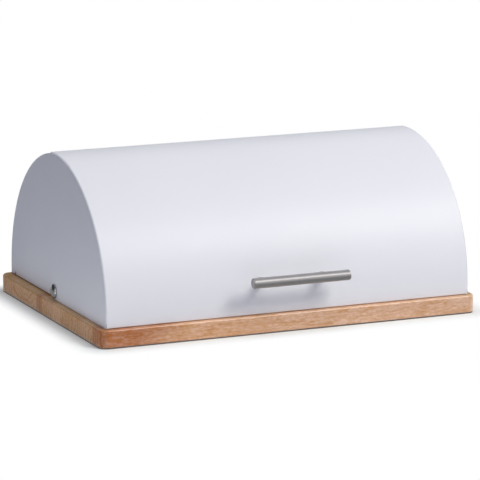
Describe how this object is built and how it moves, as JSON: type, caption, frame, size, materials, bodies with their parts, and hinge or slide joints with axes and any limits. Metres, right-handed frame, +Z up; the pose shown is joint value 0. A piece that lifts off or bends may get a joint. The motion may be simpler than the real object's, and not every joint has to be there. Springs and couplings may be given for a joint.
{
  "type": "bread box",
  "caption": "Half-round metal bread box on a wooden board; the front of the cover is a lid with a bar handle that swings up and back over the fixed rear.",
  "frame": {"origin": "bottom centre of the bounding box, handle included, on the surface that the feet stand on", "axes": "+X along the length of the box, left to right seen from the front; +Y from the front to the back; +Z up"},
  "size_m": [0.39, 0.299, 0.1615],
  "materials": {
    "white_coat": "white powder coat, fine satin",
    "board_wood": "oiled light hardwood, glued from staves along the box",
    "handle_steel": "brushed stainless steel",
    "bright_steel": "polished stainless steel",
    "zinc_steel": "bright zinc plate",
    "nylon": "natural nylon",
    "foot_rubber": "matt black rubber"
  },
  "bodies": {
    "box": {"base_board": "board_wood", "foot_front_left": "foot_rubber", "foot_front_right": "foot_rubber", "foot_rear_left": "foot_rubber", "foot_rear_right": "foot_rubber", "rear_wall": "white_coat", "rear_side_left": "white_coat", "rear_side_right": "white_coat", "shell_screws": "zinc_steel", "pivot_screw_left": "bright_steel", "pivot_screw_right": "bright_steel", "pivot_spacer_left": "nylon", "pivot_spacer_right": "nylon", "pivot_nut_left": "bright_steel", "pivot_nut_right": "bright_steel"},
    "lid": {"lid_front": "white_coat", "lid_side_left": "white_coat", "lid_side_right": "white_coat", "handle_bar": "handle_steel", "handle_post_left": "handle_steel", "handle_post_right": "handle_steel", "handle_screws": "zinc_steel"}
  },
  "joints": [
    {"name": "lid_hinge", "type": "hinge", "parent": "box", "child": "lid", "pos_m": [0, 0.01311, 0.0265], "axis": [-1, 0, 0], "range_deg": [0, 90]}
  ]
}
